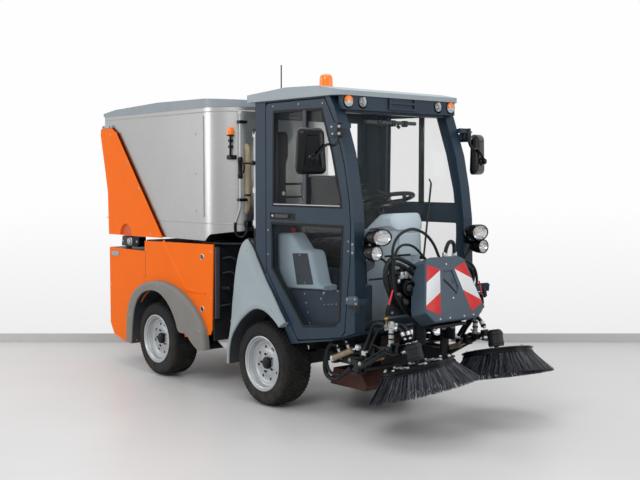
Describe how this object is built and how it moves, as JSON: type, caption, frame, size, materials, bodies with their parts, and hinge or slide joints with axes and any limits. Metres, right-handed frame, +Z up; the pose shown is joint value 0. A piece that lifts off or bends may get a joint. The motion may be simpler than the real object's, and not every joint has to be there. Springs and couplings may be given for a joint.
{
  "type": "compact road sweeper",
  "caption": "Small articulated road sweeper with a glazed cab, a steel tipping hopper, a suction mouth and round front brushes.",
  "frame": {"origin": "on the ground, under the centre of the whole machine's bounding box", "axes": "+X forward, +Y to the driver's left, +Z up"},
  "size_m": [3.5897, 1.5836, 2.1419],
  "materials": {
    "frame_paint": "satin",
    "cab_paint": "satin",
    "glass": "gloss",
    "grey_plastic": "satin",
    "fender_plastic": "matte",
    "orange_plastic": "gloss",
    "black_plastic": "matte",
    "amber_lens": "gloss",
    "lamp_lens": "gloss",
    "red_lens": "gloss",
    "hopper_steel": "brushed",
    "lid_grey": "satin",
    "engine_iron": "rough",
    "tyre_rubber": "matte",
    "rim_silver": "satin"
  },
  "bodies": {
    "front_module": {"front_frame": "frame_paint", "front_axle": "frame_paint", "cab_frame": "cab_paint", "cab_floor": "cab_paint", "cab_glass": "glass", "cab_roof": "grey_plastic", "roof_visor": "cab_paint", "roof_lamps": "lamp_lens", "beacon": "amber_lens", "antenna": "black_plastic", "seat": "black_plastic", "side_consoles": "grey_plastic", "dash_column": "grey_plastic", "front_fenders": "grey_plastic", "mirrors": "black_plastic", "headlamps": "lamp_lens", "front_cover": "cab_paint", "wiper": "black_plastic", "washer_tube": "hopper_steel", "hose_reel": "lid_grey"},
    "rear_module": {"rear_frame": "frame_paint", "rear_axle": "frame_paint", "engine": "engine_iron", "hood_sides": "orange_plastic", "hood_deck": "black_plastic", "hood_rear": "orange_plastic", "rear_grille": "black_plastic", "rear_fenders": "fender_plastic", "tail_lamps": "red_lens", "rear_bumper": "black_plastic"},
    "hopper_body": {"hopper": "hopper_steel", "hopper_lid": "lid_grey", "water_lance": "hopper_steel"},
    "hatch_body": {"hopper_hatch": "orange_plastic"},
    "lift_body": {"lift_frame": "frame_paint"},
    "mouth_body": {"suction_mouth": "black_plastic"},
    "steering_body": {"steering_wheel": "black_plastic"},
    "wheel_front_left": {"tyre_front_left": "tyre_rubber", "rim_front_left": "rim_silver"},
    "wheel_rear_left": {"tyre_rear_left": "tyre_rubber", "rim_rear_left": "rim_silver"},
    "door_body_left": {"door_left": "cab_paint", "door_glass_left": "glass", "door_hardware_left": "black_plastic"},
    "arm_body_left": {"brush_arm_left": "frame_paint"},
    "brush_body_left": {"brush_left": "black_plastic"},
    "wheel_front_right": {"tyre_front_right": "tyre_rubber", "rim_front_right": "rim_silver"},
    "wheel_rear_right": {"tyre_rear_right": "tyre_rubber", "rim_rear_right": "rim_silver"},
    "door_body_right": {"door_right": "cab_paint", "door_glass_right": "glass", "door_hardware_right": "black_plastic"},
    "arm_body_right": {"brush_arm_right": "frame_paint"},
    "brush_body_right": {"brush_right": "black_plastic"}
  },
  "joints": [
    {"name": "articulation", "type": "hinge", "parent": "front_module", "child": "rear_module", "pos_m": [-0.146, 0, 0.45], "axis": [0, 0, 1], "range_deg": [-22, 22]},
    {"name": "wheel_spin_front_left", "type": "hinge", "parent": "front_module", "child": "wheel_front_left", "pos_m": [0.314, 0.455, 0.267], "axis": [0, 1, 0], "continuous": true},
    {"name": "wheel_spin_front_right", "type": "hinge", "parent": "front_module", "child": "wheel_front_right", "pos_m": [0.314, -0.455, 0.267], "axis": [0, 1, 0], "continuous": true},
    {"name": "wheel_spin_rear_left", "type": "hinge", "parent": "rear_module", "child": "wheel_rear_left", "pos_m": [-0.946, 0.455, 0.267], "axis": [0, 1, 0], "continuous": true},
    {"name": "wheel_spin_rear_right", "type": "hinge", "parent": "rear_module", "child": "wheel_rear_right", "pos_m": [-0.946, -0.455, 0.267], "axis": [0, 1, 0], "continuous": true},
    {"name": "door_hinge_left", "type": "hinge", "parent": "front_module", "child": "door_body_left", "pos_m": [1.176, 0.54, 0.715], "axis": [0.1404, 0, -0.9901], "range_deg": [0, 55]},
    {"name": "door_hinge_right", "type": "hinge", "parent": "front_module", "child": "door_body_right", "pos_m": [1.176, -0.54, 0.715], "axis": [-0.1404, 0, 0.9901], "range_deg": [0, 55]},
    {"name": "steering_spin", "type": "hinge", "parent": "front_module", "child": "steering_body", "pos_m": [0.831, 0, 1.289], "axis": [-0.2351, 0, 0.972], "continuous": true},
    {"name": "hopper_tilt", "type": "hinge", "parent": "rear_module", "child": "hopper_body", "pos_m": [-1.636, 0, 0.948], "axis": [0, -1, 0], "range_deg": [0, 60]},
    {"name": "hatch_hinge", "type": "hinge", "parent": "hopper_body", "child": "hatch_body", "pos_m": [-1.778, 0, 1.826], "axis": [0, 1, 0], "range_deg": [0, 75]},
    {"name": "lift_hinge", "type": "hinge", "parent": "front_module", "child": "lift_body", "pos_m": [0.734, 0, 0.352], "axis": [0, 1, 0], "range_deg": [0, 14]},
    {"name": "arm_swing_left", "type": "hinge", "parent": "lift_body", "child": "arm_body_left", "pos_m": [1.014, 0.385, 0.33], "axis": [0, 0, 1], "range_deg": [0, 22]},
    {"name": "brush_spin_left", "type": "hinge", "parent": "arm_body_left", "child": "brush_body_left", "pos_m": [1.447, 0.34, 0.408], "axis": [-0.2639, 0.096, 0.9598], "continuous": true},
    {"name": "arm_swing_right", "type": "hinge", "parent": "lift_body", "child": "arm_body_right", "pos_m": [1.014, -0.385, 0.33], "axis": [0, 0, -1], "range_deg": [0, 22]},
    {"name": "brush_spin_right", "type": "hinge", "parent": "arm_body_right", "child": "brush_body_right", "pos_m": [1.447, -0.34, 0.408], "axis": [-0.2639, -0.096, 0.9598], "continuous": true},
    {"name": "mouth_lower", "type": "slide", "parent": "front_module", "child": "mouth_body", "axis": [0, 0, -1], "range_m": [0, 0.15]}
  ]
}
